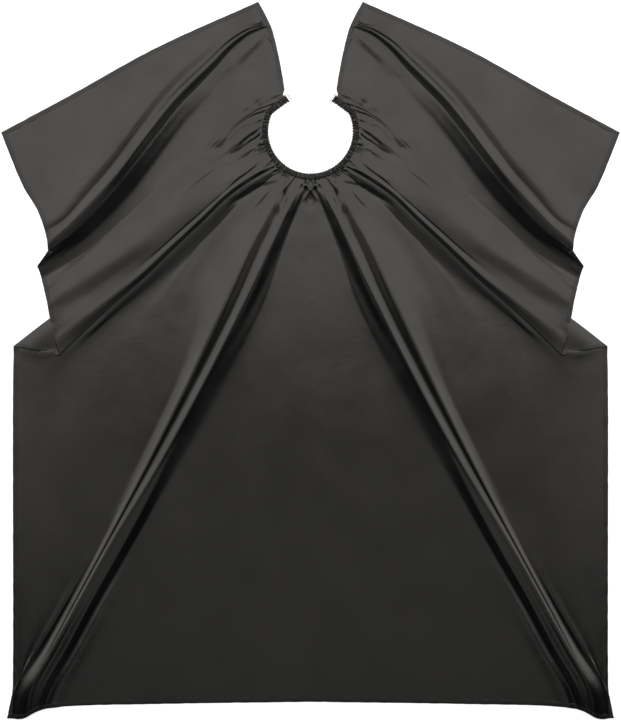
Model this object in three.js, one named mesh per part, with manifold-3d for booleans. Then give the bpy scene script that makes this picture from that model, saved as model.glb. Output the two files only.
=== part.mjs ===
// A hairdresser's cape laid out flat: one sheet of satin with a keyhole neckline and a slit up the back,
// a gathered elastic neckband, turned and stitched hems, and a wire hook and eye at the ends of the band.
// Millimetres. The cape lies in the XY plane with its face up (+Z), the slit towards +Y, and is symmetric
// about x = 0. The origin is on the surface it lies on, under the middle of its bounding box.
import * as THREE from 'three';
import { mergeVertices } from 'three/addons/utils/BufferGeometryUtils.js';
import Module from 'manifold-3d';

const wasm = await Module();
wasm.setup();

// ---- Driving dimensions ----

// Cloth, as solid stand-ins for a sheet of about 0.3 mm
const PANEL_THICKNESS = 1.2;
const HEM_WIDTH = 8;
const HEM_THICKNESS = 1.8;
const GAP = 0.3; // between any two pieces that rest against each other

// Half widths and heights of the laid outline, measured from the middle of the bounding box
const HALF_LENGTH = 644.3; // from the middle to the slit's top corners, and to the bottom corners
const BOTTOM_RISE = 29.7; // of the bottom edge's middle above the bottom corners
const BOTTOM_CORNER_X = 545.4;
const LOWER_SIDE_X = 535;
const FLAP_TIP = [533.7, 25.3];
const FLAP_ROOT = [468, 75.7];
const FLAP_INNER_TIP = [451.8, 7.3];
const MIDDLE_TIP = [490.7, 168.4];
const UPPER_SIDE_FOOT = [473.4, 221.9];
const NOTCH = [470, 196.3];
const OUTER_CORNER = [556.2, 409.2];
const SLIT_CORNER_X = 94;

// Neckband
const NECK_RADIUS = 75.5;
const NECK_CENTRE_Y = 411.5;
const NECK_ARC_END = 24; // degrees above the horizontal, where the band leaves its circle
const BAND_BEND = [59, 450.3]; // where the band's end would meet its circle, as a rounded corner
const BAND_END = [37.6, 465.6]; // inner corner of the band's end
const ELASTIC_WIDTH = 10;
const ELASTIC_THICKNESS = 2.4;
const ELASTIC_CLEARANCE = 0.35;
const CASING_WALL = 1;
const ELASTIC_SETBACK = 1.5; // how far the elastic stops short of the casing's ends

// Wire fittings and the loops that hold them
const WIRE_RADIUS = 0.5;
const LOOP_BORE_CLEARANCE = 0.35;
const LOOP_WALL = 1;
const FITTING_REACH = 5; // from the loop's face to the far bar
const FITTING_SIDE_CLEARANCE = 0.6; // between the loop's ends and the fitting's arms
const TONGUE_LENGTH = 8;
const TONGUE_REACH = 2.5; // from the far bar back towards the band
const TONGUE_RISE = 2;
const FLOOR_CLEARANCE = 0.3; // under the far bar as it lies at rest

// Sewing
const THREAD_SIZE = 0.6;
const HEM_STITCH_INSET = 6.4; // from the cloth's edge to the row of stitches
const GATHER_STITCH_INSET = 1.2; // from the band's outer edge to its row of stitches
const STITCH_SETBACK = 18; // from each end of a hem
const TACK_WIDTH = 1.6;
const TACK_HEIGHT = 0.8;
const TACK_SETBACK = 2; // from the casing's end
const TACK_MARGIN = 2; // from each edge of the casing

// Sampling of the curves
const EDGE_STEPS = 12;
const NECK_STEPS = 48;
const RIDGE_STEPS = 14;
const RIDGE_SIDES = 8;
const WIRE_SIDES = 10;

// ---- Values worked out from them ----

const BOTTOM_CENTRE_Y = BOTTOM_RISE - HALF_LENGTH;
const TUNNEL_WIDTH = ELASTIC_WIDTH + 2 * ELASTIC_CLEARANCE;
const TUNNEL_HEIGHT = ELASTIC_THICKNESS + 2 * ELASTIC_CLEARANCE;
const BAND_WIDTH = TUNNEL_WIDTH + 2 * CASING_WALL;
const BAND_HEIGHT = TUNNEL_HEIGHT + 2 * CASING_WALL;
const LOOP_BORE = WIRE_RADIUS + LOOP_BORE_CLEARANCE;
const LOOP_RADIUS = LOOP_BORE + LOOP_WALL;
const LOOP_AXIS_Z = BAND_HEIGHT / 2;
const FITTING_DEPTH = FITTING_REACH + LOOP_RADIUS;
const FITTING_TILT = Math.asin((LOOP_AXIS_Z - WIRE_RADIUS - FLOOR_CLEARANCE) / FITTING_DEPTH);
const CASING_SETBACK = 2 * LOOP_RADIUS + GAP; // from the band's end to the casing's end
const LOOP_LENGTH = BAND_WIDTH;
const FITTING_HALF_WIDTH = LOOP_LENGTH / 2 + FITTING_SIDE_CLEARANCE + WIRE_RADIUS;

// Edges of the laid cape on the +X side, each a smooth curve, in order anticlockwise from bottom centre
const EDGES = {
  bottom: [
    [0, BOTTOM_CENTRE_Y], [272, BOTTOM_CENTRE_Y - 4], [449, BOTTOM_CENTRE_Y - 9],
    [489, BOTTOM_CENTRE_Y - 16], [517, -HALF_LENGTH], [BOTTOM_CORNER_X, -HALF_LENGTH],
  ],
  side_lower: [
    [BOTTOM_CORNER_X, -HALF_LENGTH], [LOWER_SIDE_X + 1, 47.3 - HALF_LENGTH],
    [LOWER_SIDE_X, 84.3 - HALF_LENGTH], [LOWER_SIDE_X, -72], FLAP_TIP,
  ],
  side_middle: [FLAP_ROOT, [474, 107], [487.6, 161.2], MIDDLE_TIP],
  side_upper: [UPPER_SIDE_FOOT, [488, 265], [517, 313.5], OUTER_CORNER],
  top: [OUTER_CORNER, [430, 477], [280, 560], [SLIT_CORNER_X, HALF_LENGTH]],
};
const SLIT_EDGE_BOW = [[71, 598], [58.3, 549.5]];
const TURNED_EDGE = [FLAP_TIP, FLAP_INNER_TIP]; // the hem of the layer that is folded back on the panel

// Where the folds come to the outline, a little way in from a corner of it
const ROLL_FOOT = [NOTCH[0] - 18, NOTCH[1] + 39.7];
const OVERLAP_FOOT = [FLAP_INNER_TIP[0] - 11.8, FLAP_INNER_TIP[1] + 18.7];
const PLEAT_FOOT = [BOTTOM_CORNER_X - 33.4, 42.3 - HALF_LENGTH];

// Folds standing up from the laid panel: [x, y, half width, height] from the neck outwards
const FOLDS = {
  roll: [
    [112, 592, 8, 8], [199, 529, 20, 18], [278, 443, 24, 24], [357, 335, 26, 26], [...ROLL_FOOT, 20, 20],
  ],
  overlap: [[112, 330, 8, 8], [199, 256, 16, 11], [307, 162, 18, 10], [...OVERLAP_FOOT, 12, 8]],
  pleat: [
    [34, 296, 6, 9], [84, 198, 16, 20], [181, 7, 22, 22], [332, -309, 22, 18], [...PLEAT_FOOT, 16, 12],
  ],
};

// ---- Materials ----

const cloth = (color) => new THREE.MeshStandardMaterial({ color, roughness: 0.5, metalness: 0 });
const satin = cloth(0x2a2928);
const hemSatin = cloth(0x333130);
const casingSatin = cloth(0x262524);
const elasticWeave = cloth(0x1b1b1b);
const thread = cloth(0x111111);
const wireSteel = new THREE.MeshStandardMaterial({ color: 0xc8cacc, roughness: 0.25, metalness: 1 });

// ---- Outlines ----

/** Points along a smooth curve through the given ones. */
function smooth(points, steps = EDGE_STEPS) {
  const curve = new THREE.SplineCurve(points.map(([x, y]) => new THREE.Vector2(x, y)));
  return curve.getSpacedPoints(steps);
}

/** The same line on the -X side, run the other way so that the cloth stays on its left. */
function acrossAndBack(points) {
  return points.map((p) => new THREE.Vector2(-p.x, p.y)).reverse();
}

/** A line moved sideways, to its left, with its corners mitred. */
function offset(points, distance) {
  return points.map((p, i) => {
    const before = p.clone().sub(points[Math.max(i - 1, 0)]).normalize();
    const after = points[Math.min(i + 1, points.length - 1)].clone().sub(p).normalize();
    const along = before.clone().add(after).normalize();
    const whole = before.lengthSq() && after.lengthSq();
    const mitre = whole ? 1 / Math.max(before.dot(along), 0.5) : 1;
    return new THREE.Vector2(p.x - along.y * distance * mitre, p.y + along.x * distance * mitre);
  });
}

/** A line shortened at its start and end, or lengthened where the distance is negative. */
function trimmed(points, atStart, atEnd) {
  const cutStart = (line, distance) => {
    const rest = [...line];
    let left = distance;
    while (rest.length > 2 && left > rest[0].distanceTo(rest[1])) {
      left -= rest[0].distanceTo(rest[1]);
      rest.shift();
    }
    const along = rest[1].clone().sub(rest[0]).normalize();
    rest[0] = rest[0].clone().addScaledVector(along, left);
    return rest;
  };
  return cutStart(cutStart(points, atStart).reverse(), atEnd).reverse();
}

/** The inner edge of the neckband, from its +X end round the front to its -X end, cloth on its left. */
function neckline() {
  const end = THREE.MathUtils.degToRad(NECK_ARC_END);
  const arc = new THREE.EllipseCurve(0, NECK_CENTRE_Y, NECK_RADIUS, NECK_RADIUS, end, -Math.PI - end, true);
  const round = arc.getSpacedPoints(NECK_STEPS);
  const leave = new THREE.QuadraticBezierCurve(
    new THREE.Vector2(...BAND_END), new THREE.Vector2(...BAND_BEND), round[0].clone(),
  );
  const tail = leave.getSpacedPoints(6).slice(0, -1);
  return [...tail, ...round, ...acrossAndBack(tail)];
}

const NECK = neckline();
const BAND_OUTER = offset(NECK, BAND_WIDTH);

function slitEdge() {
  const foot = BAND_OUTER[0];
  return smooth([[SLIT_CORNER_X, HALF_LENGTH], ...SLIT_EDGE_BOW, [foot.x, foot.y]]);
}

const SIDE_RUNS = {
  side_lower: smooth(EDGES.side_lower),
  side_middle: smooth(EDGES.side_middle, 6),
  side_upper: smooth(EDGES.side_upper, 8),
  top: smooth(EDGES.top),
  back: slitEdge(),
};

/** The whole laid outline, anticlockwise, with the neckband inside it. */
function silhouette() {
  const notch = new THREE.Vector2(...NOTCH);
  const half = [
    ...smooth(EDGES.bottom),
    ...SIDE_RUNS.side_lower.slice(1),
    ...SIDE_RUNS.side_middle,
    notch,
    ...SIDE_RUNS.side_upper,
    ...SIDE_RUNS.top.slice(1),
    ...SIDE_RUNS.back.slice(1),
  ];
  return [...half, ...NECK, ...acrossAndBack(half).slice(0, -1)];
}

// ---- Solids ----

/** A flat-sided solid over an outline, from one height to another. */
function plate(outline, bottom, top) {
  const shape = new THREE.Shape(outline);
  const geometry = new THREE.ExtrudeGeometry(shape, { depth: top - bottom, bevelEnabled: false });
  return geometry.translate(0, 0, bottom);
}

/** A strip beside a line, from one distance to another on its left. */
function ribbon(line, near, far, bottom, top) {
  return plate([...offset(line, near), ...offset(line, far).reverse()], bottom, top);
}

/** The three.js geometry as a solid that can be joined and cut. */
function solid(geometry) {
  const bare = geometry.clone();
  bare.deleteAttribute('normal');
  bare.deleteAttribute('uv');
  const merged = mergeVertices(bare, 1e-4);
  return new wasm.Manifold(new wasm.Mesh({
    numProp: 3,
    vertProperties: new Float32Array(merged.attributes.position.array),
    triVerts: new Uint32Array(merged.index.array),
  }));
}

/** The joined or cut solid as a three.js geometry again. */
function geometryOf(manifold) {
  const mesh = manifold.getMesh();
  const geometry = new THREE.BufferGeometry();
  geometry.setAttribute('position', new THREE.BufferAttribute(new Float32Array(mesh.vertProperties), 3));
  geometry.setIndex(new THREE.BufferAttribute(new Uint32Array(mesh.triVerts), 1));
  return geometry.toNonIndexed();
}

/** A fold standing on the panel: a half ellipse swept along its route, whose size changes on the way. */
function fold(stations, side) {
  const profile = Array.from({ length: RIDGE_SIDES + 1 }, (_, i) => {
    const turn = (i / RIDGE_SIDES) * Math.PI;
    return new THREE.Vector2(Math.cos(turn), Math.sin(turn));
  });
  const settings = { depth: 1, steps: RIDGE_STEPS, bevelEnabled: false };
  const geometry = new THREE.ExtrudeGeometry(new THREE.Shape(profile), settings);
  const route = new THREE.SplineCurve(stations.map(([x, y]) => new THREE.Vector2(side * x, y)));
  const sizes = new THREE.SplineCurve(stations.map(([, , wide, high]) => new THREE.Vector2(wide, high)));
  const position = geometry.attributes.position;
  const base = PANEL_THICKNESS / 2;
  for (let i = 0; i < position.count; i += 1) {
    const along = position.getZ(i);
    const at = route.getPoint(along);
    const heading = route.getTangent(along);
    const size = sizes.getPoint(along);
    const across = position.getX(i) * size.x;
    const height = base + position.getY(i) * size.y;
    position.setXYZ(i, at.x - heading.y * across, at.y + heading.x * across, height);
  }
  return geometry;
}

/** A straight round wire between two points, with rounded ends. */
function wire(from, to) {
  const along = to.clone().sub(from);
  const rod = new THREE.CylinderGeometry(WIRE_RADIUS, WIRE_RADIUS, along.length(), WIRE_SIDES);
  const upright = new THREE.Vector3(0, 1, 0);
  const turn = new THREE.Quaternion().setFromUnitVectors(upright, along.clone().normalize());
  rod.applyQuaternion(turn);
  rod.translate(...from.clone().add(to).multiplyScalar(0.5).toArray());
  const ends = [from, to].map((end) => {
    const ball = new THREE.SphereGeometry(WIRE_RADIUS, WIRE_SIDES, 6);
    return solid(ball.applyQuaternion(turn).translate(...end.toArray()));
  });
  return solid(rod).add(ends[0]).add(ends[1]);
}

/** Wires run one after another through a list of [x, y, z] points, as one solid. */
function bentWire(points) {
  const corners = points.map((p) => new THREE.Vector3(...p));
  return corners.slice(1).map((corner, i) => wire(corners[i], corner)).reduce((all, one) => all.add(one));
}

// ---- The pieces ----

const cape = new THREE.Group();

function addPiece(name, geometry, material, parent = cape) {
  const mesh = new THREE.Mesh(geometry, material);
  mesh.name = name;
  parent.add(mesh);
  return mesh;
}

/** The name and the edge line of every hem that lies on the surface, bottom first, then up each side. */
function hemRuns() {
  const bottomHalf = smooth(EDGES.bottom);
  const runs = [{ name: 'bottom_hem', line: [...acrossAndBack(bottomHalf).slice(0, -1), ...bottomHalf] }];
  for (const [run, line] of Object.entries(SIDE_RUNS)) {
    runs.push({ name: `right_${run}_hem`, line });
    runs.push({ name: `left_${run}_hem`, line: acrossAndBack(line) });
  }
  return runs;
}

/** The space a hem takes up with the gap beside it, and as much outside, taller than the cape. */
function hemRoom(line) {
  return solid(ribbon(trimmed(line, -GAP, -GAP), -HEM_WIDTH, HEM_WIDTH + GAP, -1, HALF_LENGTH));
}

/** Where the loop at one end of the band lies, and the directions across and outwards along the band. */
function bandEnd(side) {
  const inner = new THREE.Vector2(side * NECK[0].x, NECK[0].y);
  const outer = new THREE.Vector2(side * BAND_OUTER[0].x, BAND_OUTER[0].y);
  const across = outer.clone().sub(inner).normalize();
  const outwards = new THREE.Vector2(-side * across.y, side * across.x);
  const middle = inner.clone().add(outer).multiplyScalar(0.5).addScaledVector(outwards, -LOOP_RADIUS);
  return { middle, across, outwards };
}

/** The space that the fitting and its arms take up at one end of the band. */
function fittingRoom(side) {
  const { middle, across, outwards } = bandEnd(side);
  const half = FITTING_HALF_WIDTH + WIRE_RADIUS + GAP;
  const near = -LOOP_RADIUS;
  const corners = [[-half, near], [half, near], [half, FITTING_DEPTH], [-half, FITTING_DEPTH]];
  const place = ([x, y]) => middle.clone().addScaledVector(across, x).addScaledVector(outwards, y);
  const outline = corners.map(place);
  return solid(plate(outline, -1, HALF_LENGTH));
}

/** The space the neckband takes up with the gap outside it, the loops' and the fittings' included. */
function bandRoom() {
  const line = trimmed(NECK, -HEM_WIDTH, -HEM_WIDTH);
  const band = solid(ribbon(line, -NECK_RADIUS / 4, BAND_WIDTH + GAP, -1, HALF_LENGTH));
  return band.add(fittingRoom(-1)).add(fittingRoom(1));
}

/** The cloth sheet: the outline less the strips that the hems and the neckband take up, with its folds. */
function makePanel() {
  let panel = solid(plate(silhouette(), 0, PANEL_THICKNESS));
  for (const side of [-1, 1]) {
    for (const stations of Object.values(FOLDS)) {
      panel = panel.add(solid(fold(stations, side)));
    }
  }
  for (const { line } of hemRuns()) {
    panel = panel.subtract(hemRoom(line));
  }
  panel = panel.subtract(bandRoom());
  addPiece('cape_panel', geometryOf(panel), satin);
}

/** Hems cut square where one meets the next, each with its row of stitches on top. */
function makeHems() {
  const stitchFar = HEM_STITCH_INSET + THREAD_SIZE / 2;
  const stitchNear = HEM_STITCH_INSET - THREAD_SIZE / 2;
  const stitchZ = HEM_THICKNESS + GAP;
  let taken = bandRoom();
  for (const { name, line } of hemRuns()) {
    const strip = solid(ribbon(line, 0, HEM_WIDTH, 0, HEM_THICKNESS)).subtract(taken);
    addPiece(name, geometryOf(strip), hemSatin);
    taken = taken.add(hemRoom(line));
    const row = trimmed(line, STITCH_SETBACK, STITCH_SETBACK);
    const stitches = ribbon(row, stitchNear, stitchFar, stitchZ, stitchZ + THREAD_SIZE);
    addPiece(name.replace('_hem', '_thread'), stitches, thread);
  }
}

/** The hem of the layer that is folded back, which lies on top of the panel. */
function makeTurnedHems() {
  const line = smooth(TURNED_EDGE, 4);
  const low = PANEL_THICKNESS + GAP;
  const runs = { left: line.map((p) => new THREE.Vector2(-p.x, p.y)), right: [...line].reverse() };
  for (const [side, run] of Object.entries(runs)) {
    const sewn = trimmed(run, 2 * HEM_WIDTH, 2 * HEM_WIDTH);
    const strip = ribbon(sewn, 0, -HEM_WIDTH, low, low + HEM_THICKNESS);
    addPiece(`${side}_turned_hem`, strip, hemSatin);
  }
}

/** A gathered tube of cloth, open at both ends, with the elastic inside and the gathering row on top. */
function makeNeckband() {
  const line = trimmed(NECK, CASING_SETBACK, CASING_SETBACK);
  const outside = solid(ribbon(line, 0, BAND_WIDTH, 0, BAND_HEIGHT));
  const through = trimmed(line, -1, -1);
  const wallTop = CASING_WALL + TUNNEL_HEIGHT;
  const tunnel = solid(ribbon(through, CASING_WALL, CASING_WALL + TUNNEL_WIDTH, CASING_WALL, wallTop));
  addPiece('neckband_casing', geometryOf(outside.subtract(tunnel)), casingSatin);

  const elasticLine = trimmed(line, ELASTIC_SETBACK, ELASTIC_SETBACK);
  const near = CASING_WALL + ELASTIC_CLEARANCE;
  const elastic = ribbon(elasticLine, near, near + ELASTIC_WIDTH, near, near + ELASTIC_THICKNESS);
  addPiece('neck_elastic', elastic, elasticWeave);

  const rowFar = BAND_WIDTH - GATHER_STITCH_INSET;
  const rowZ = BAND_HEIGHT + GAP;
  const row = trimmed(line, TACK_SETBACK + 3 * TACK_WIDTH, TACK_SETBACK + 3 * TACK_WIDTH);
  const stitches = ribbon(row, rowFar - THREAD_SIZE, rowFar, rowZ, rowZ + THREAD_SIZE);
  addPiece('neckband_gather_thread', stitches, thread);
}

/** A group at one end of the band: X across the band, Y outwards along it, Z up, on the loop's axis. */
function bandEndFrame(side) {
  const { middle, outwards } = bandEnd(side);
  const place = new THREE.Group();
  place.position.set(middle.x, middle.y, LOOP_AXIS_Z);
  place.rotation.z = Math.atan2(outwards.y, outwards.x) - Math.PI / 2;
  return place;
}

/** The band's end turned back into a tube across the band, which holds the fitting's near bar. */
function makeLoop(side, name) {
  const ring = new THREE.Shape();
  ring.absarc(0, 0, LOOP_RADIUS, 0, 2 * Math.PI, false);
  const bore = new THREE.Path();
  bore.absarc(0, 0, LOOP_BORE, 0, 2 * Math.PI, true);
  ring.holes.push(bore);
  const settings = { depth: LOOP_LENGTH, bevelEnabled: false, curveSegments: 10 };
  const tube = new THREE.ExtrudeGeometry(ring, settings);
  tube.translate(0, 0, -LOOP_LENGTH / 2).rotateY(Math.PI / 2);
  const place = bandEndFrame(side);
  cape.add(place);
  addPiece(name, tube, casingSatin, place);
}

/** The rectangle that every fitting has: a bar in the loop, two arms and a bar that stands off the band. */
function fittingFrame() {
  const w = FITTING_HALF_WIDTH;
  const d = FITTING_DEPTH;
  return bentWire([[-w, 0, 0], [w, 0, 0], [w, d, 0], [-w, d, 0], [-w, 0, 0]]);
}

function placeFitting(side, name, body) {
  const place = bandEndFrame(side);
  const tilt = new THREE.Group();
  tilt.rotation.x = -FITTING_TILT;
  place.add(tilt);
  cape.add(place);
  addPiece(name, geometryOf(body), wireSteel, tilt);
}

/** The hook: its tongue is bent up off the far bar and back towards the band. */
function makeHook() {
  const half = TONGUE_LENGTH / 2;
  const back = FITTING_DEPTH - TONGUE_REACH;
  const tongue = bentWire([
    [-half, FITTING_DEPTH, 0], [-half, FITTING_DEPTH, TONGUE_RISE], [-half, back, TONGUE_RISE],
    [half, back, TONGUE_RISE], [half, FITTING_DEPTH, TONGUE_RISE], [half, FITTING_DEPTH, 0],
  ]);
  placeFitting(-1, 'wire_hook', fittingFrame().add(tongue));
}

/** The eye: a second bar inside the rectangle gives the hook a tighter place to catch. */
function makeEye() {
  const back = FITTING_DEPTH - TONGUE_REACH;
  const bar = bentWire([[-FITTING_HALF_WIDTH, back, 0], [FITTING_HALF_WIDTH, back, 0]]);
  placeFitting(1, 'wire_eye', fittingFrame().add(bar));
}

/** Dense stitching across the band behind each loop, standing on the casing. */
function makeTacks() {
  const start = CASING_SETBACK + TACK_SETBACK;
  for (const [side, line] of [['right', NECK], ['left', [...NECK].reverse()]]) {
    const turnedLeft = side === 'right' ? 1 : -1;
    const inside = trimmed(line, start, 0).slice(0, 2);
    const along = inside[1].clone().sub(inside[0]).normalize();
    const patch = [inside[0], inside[0].clone().addScaledVector(along, TACK_WIDTH)];
    const near = turnedLeft * TACK_MARGIN;
    const far = turnedLeft * (BAND_WIDTH - TACK_MARGIN);
    const low = BAND_HEIGHT + GAP;
    addPiece(`${side}_bar_tack`, ribbon(patch, near, far, low, low + TACK_HEIGHT), thread);
  }
}

makePanel();
makeHems();
makeTurnedHems();
makeNeckband();
makeLoop(-1, 'left_end_loop');
makeLoop(1, 'right_end_loop');
makeHook();
makeEye();
makeTacks();

export default cape;
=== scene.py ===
"""A hairdresser's cape laid out flat: gathered satin with deep folds, turned hems, a ruffled neckband and a
wire hook and eye. Lengths are in millimetres until a mesh is made. The cape is symmetric about x = 0, so
the cloth and its sewing are worked out for the +X side and mirrored.
"""
import math
from collections import namedtuple

import bpy
import numpy as np
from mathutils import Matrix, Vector
from mathutils.bvhtree import BVHTree


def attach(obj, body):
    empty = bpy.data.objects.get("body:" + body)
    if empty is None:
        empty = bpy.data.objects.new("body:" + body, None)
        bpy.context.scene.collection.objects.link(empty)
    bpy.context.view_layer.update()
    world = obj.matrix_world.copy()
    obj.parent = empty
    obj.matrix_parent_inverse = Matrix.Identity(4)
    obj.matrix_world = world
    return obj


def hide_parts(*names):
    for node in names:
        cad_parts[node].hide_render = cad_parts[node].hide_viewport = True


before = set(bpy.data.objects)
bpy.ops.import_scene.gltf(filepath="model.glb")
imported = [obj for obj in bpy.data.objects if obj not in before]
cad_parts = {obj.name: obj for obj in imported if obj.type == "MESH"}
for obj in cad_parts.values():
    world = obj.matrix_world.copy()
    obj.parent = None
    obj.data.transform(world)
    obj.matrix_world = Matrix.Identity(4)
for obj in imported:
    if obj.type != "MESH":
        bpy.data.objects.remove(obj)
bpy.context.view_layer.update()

MM = 0.001
UP = np.array([0, 0, 1.0])

# ---- Sizes shared with the frame ----

NECK_RADIUS = 75.5  # of the band's inner edge
NECK_CENTRE_Y = 411.5
NECK_ARC_END = math.radians(24)  # above the horizontal, where the band leaves its circle
BAND_BEND = (59, 450.3)
BAND_END = (37.6, 465.6)
BAND_WIDTH = 12.7
LOOP_RADIUS = 1.85
LOOP_AXIS_Z = 2.55
FITTING_DEPTH = 6.85
FITTING_HALF_WIDTH = 7.45
FITTING_TILT = math.radians(14.8)
WIRE_RADIUS = 0.5
TONGUE_LENGTH = 8
TONGUE_REACH = 2.5
TONGUE_RISE = 2
HEM_WIDTH = 8

BOTTOM_CENTRE = (0, -614.6)
BOTTOM_CORNER = (545.4, -644.3)
FLAP_TIP = (533.7, 25.3)
FLAP_ROOT = (468, 75.7)
FLAP_INNER_TIP = (451.8, 7.3)
MIDDLE_TIP = (490.7, 168.4)
NOTCH = (470, 196.3)
UPPER_SIDE_FOOT = (473.4, 221.9)
OUTER_CORNER = (556.2, 409.2)
SLIT_CORNER = (94, 644.3)

# The cloth's outer edge on the +X side, in order from bottom centre to the top flap's corner
OUTER_EDGES = [
    ("bottom", [BOTTOM_CENTRE, (272, -618.6), (449, -623.6), (489, -630.6), (517, -644.3), BOTTOM_CORNER]),
    ("side_lower", [BOTTOM_CORNER, (536, -597), (535, -560), (535, -72), FLAP_TIP]),
    ("turned", [FLAP_TIP, FLAP_INNER_TIP]),
    ("side_middle", [FLAP_INNER_TIP, FLAP_ROOT, (474, 107), (487.6, 161.2), MIDDLE_TIP]),
    ("notch", [MIDDLE_TIP, NOTCH]),
    ("side_upper", [NOTCH, UPPER_SIDE_FOOT, (488, 265), (517, 313.5), OUTER_CORNER]),
]

# ---- Curves ----


def knots_of(points):
    """Centripetal knot values for points along axis 0."""
    steps = np.sqrt(np.maximum(np.linalg.norm(np.diff(points, axis=0), axis=-1), 1e-6))
    return np.concatenate([np.zeros((1,) + steps.shape[1:]), np.cumsum(steps, axis=0)])


def curve(points, counts):
    """Points on smooth curves through the given ones, with so many steps between each two."""
    points = np.asarray(points, float)
    gap = np.diff(knots_of(points), axis=0)[..., None]
    slope = np.diff(points, axis=0) / gap
    inner = (slope[:-1] * gap[1:] + slope[1:] * gap[:-1]) / (gap[:-1] + gap[1:])
    tangent = np.concatenate([slope[:1], inner, slope[-1:]])
    rows = []
    for i, count in enumerate(counts):
        for s in np.arange(count) / count:
            a, b = s * s * (3 - 2 * s), s * (1 - s)
            rows.append(
                (1 - a) * points[i] + a * points[i + 1]
                + gap[i] * b * ((1 - s) * tangent[i] - s * tangent[i + 1])
            )
    return np.array(rows + [points[-1]])


def distances(points):
    """How far along a line each of its points is."""
    return np.concatenate([[0], np.cumsum(np.linalg.norm(np.diff(points, axis=0), axis=-1))])


def directions(points):
    """The direction along a line at each of its points."""
    heading = np.gradient(points, axis=0)
    return heading / np.linalg.norm(heading, axis=1)[:, None]


def along(points, fractions):
    """Points at fractions of a line's length."""
    length = distances(points)
    at = np.asarray(fractions) * length[-1]
    return np.stack([np.interp(at, length, points[:, k]) for k in range(points.shape[1])], axis=-1)


def line_length(points):
    return np.linalg.norm(np.diff(points, axis=0), axis=-1).sum()


def fine(points, steps=24):
    return curve(points, [steps] * (len(points) - 1))


def step(low, high, value):
    """0 below low, 1 above high, and smooth between."""
    t = np.clip((value - low) / (high - low), 0, 1)
    return t * t * (3 - 2 * t)


def ripple(position, pitch, seed):
    """An uneven wave of about that pitch, between -1 and 1, the same every time."""
    rng = np.random.default_rng(seed)
    total = np.zeros_like(np.asarray(position, float))
    for share, weight in ((1.0, 1.0), (0.73, 0.7), (1.37, 0.55), (0.41, 0.5)):
        turn = rng.uniform(0, 2 * math.pi)
        total = total + weight * np.sin(2 * math.pi * share * position / pitch + turn)
    return total / 2.2


# ---- The lines of the laid cape, on the +X side ----


def neck_line(distance, steps=120):
    """The band's inner edge moved outwards, from bottom centre to the band's +X end."""
    turn = np.linspace(-math.pi / 2, NECK_ARC_END, steps)
    round_part = np.stack([np.cos(turn) * NECK_RADIUS, NECK_CENTRE_Y + np.sin(turn) * NECK_RADIUS], axis=1)
    t = np.linspace(0, 1, 24)[1:, None]
    start, bend, end = round_part[-1], np.array(BAND_BEND), np.array(BAND_END)
    tail = (1 - t) ** 2 * start + 2 * t * (1 - t) * bend + t * t * end
    line = np.concatenate([round_part, tail])
    heading = directions(line)
    return line + distance * np.stack([heading[:, 1], -heading[:, 0]], axis=1)


SEAM_INSET = 1.5  # how far the cloth runs in under the band's outer edge
SEAM = neck_line(BAND_WIDTH - SEAM_INSET)
SLIT_EDGE = fine([neck_line(BAND_WIDTH)[-1], (58.3, 549.5), (71, 598), SLIT_CORNER])
OUTER_LINES = [fine(points) if len(points) > 2 else np.array(points, float) for _, points in OUTER_EDGES]
OUTER_NAMES = [name for name, _ in OUTER_EDGES]


def on_lines(lines, position):
    """The point at a position such as 2.4, four tenths along the third line."""
    which = min(int(position), len(lines) - 1)
    return along(lines[which], [position - which])[0]


def neck(degrees):
    """A start on the neck seam, by its angle from the front."""
    length = line_length(SEAM)
    arc = (NECK_RADIUS + BAND_WIDTH - SEAM_INSET) * math.radians(degrees)
    return min(arc / length, 0.999)


def slit(share):
    """A start on the slit's edge, by its share of the way from the band to the top corner."""
    return 1 + share


def outer(name, share):
    return OUTER_NAMES.index(name) + share


# ---- Folds ----

REST = 1.6  # height of the cloth's middle where it lies flat

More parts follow.
